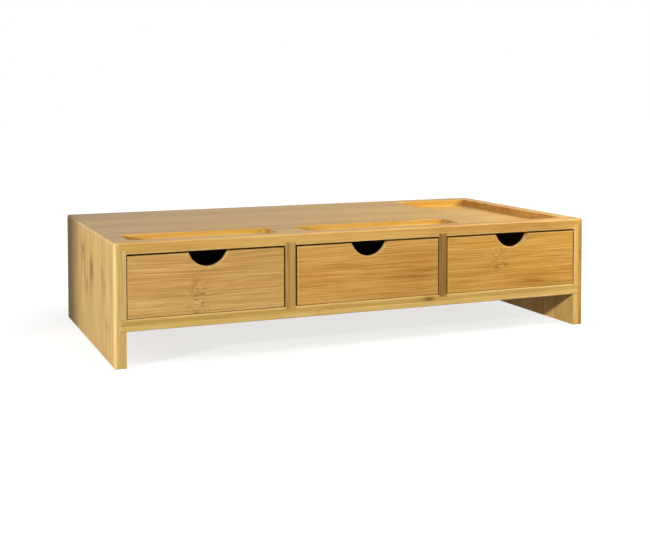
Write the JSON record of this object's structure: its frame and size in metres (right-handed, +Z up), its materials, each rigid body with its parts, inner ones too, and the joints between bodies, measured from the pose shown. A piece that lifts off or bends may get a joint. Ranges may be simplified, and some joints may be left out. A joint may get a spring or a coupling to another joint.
{
  "type": "monitor stand",
  "caption": "Bamboo desk riser with a row of inset drawers under a board with routed recesses for pens, a phone and small things, and open space below for a keyboard.",
  "frame": {"origin": "centre of the footprint, on the surface the stand stands on", "axes": "+X to the right seen from the front, +Y to the back, +Z up; the drawers open along -Y"},
  "size_m": [0.52, 0.27, 0.1185],
  "materials": {
    "bamboo_panel": "satin clear lacquer",
    "bamboo_board": "satin clear lacquer",
    "bamboo_shelf": "satin clear lacquer",
    "bamboo_divider": "satin clear lacquer",
    "bamboo_back": "satin clear lacquer",
    "bamboo_drawer_front": "satin clear lacquer",
    "bamboo_drawer_box": "satin clear lacquer",
    "bamboo_drawer_bottom": "matt",
    "screw_steel": "zinc plated",
    "pin_steel": "bare"
  },
  "bodies": {
    "carcass": {"left_side_panel": "bamboo_panel", "right_side_panel": "bamboo_panel", "top_board": "bamboo_board", "drawer_shelf": "bamboo_shelf", "left_divider": "bamboo_divider", "right_divider": "bamboo_divider", "back_panel": "bamboo_back", "divider_screws": "screw_steel"},
    "left_drawer": {"left_drawer_front": "bamboo_drawer_front", "left_drawer_left_side": "bamboo_drawer_box", "left_drawer_right_side": "bamboo_drawer_box", "left_drawer_back": "bamboo_drawer_box", "left_drawer_bottom": "bamboo_drawer_bottom", "left_drawer_pins": "pin_steel"},
    "middle_drawer": {"middle_drawer_front": "bamboo_drawer_front", "middle_drawer_left_side": "bamboo_drawer_box", "middle_drawer_right_side": "bamboo_drawer_box", "middle_drawer_back": "bamboo_drawer_box", "middle_drawer_bottom": "bamboo_drawer_bottom", "middle_drawer_pins": "pin_steel"},
    "right_drawer": {"right_drawer_front": "bamboo_drawer_front", "right_drawer_left_side": "bamboo_drawer_box", "right_drawer_right_side": "bamboo_drawer_box", "right_drawer_back": "bamboo_drawer_box", "right_drawer_bottom": "bamboo_drawer_bottom", "right_drawer_pins": "pin_steel"}
  },
  "joints": [
    {"name": "left_drawer_slide", "type": "slide", "parent": "carcass", "child": "left_drawer", "axis": [0, -1, 0], "range_m": [0, 0.19]},
    {"name": "middle_drawer_slide", "type": "slide", "parent": "carcass", "child": "middle_drawer", "axis": [0, -1, 0], "range_m": [0, 0.19]},
    {"name": "right_drawer_slide", "type": "slide", "parent": "carcass", "child": "right_drawer", "axis": [0, -1, 0], "range_m": [0, 0.19]}
  ]
}
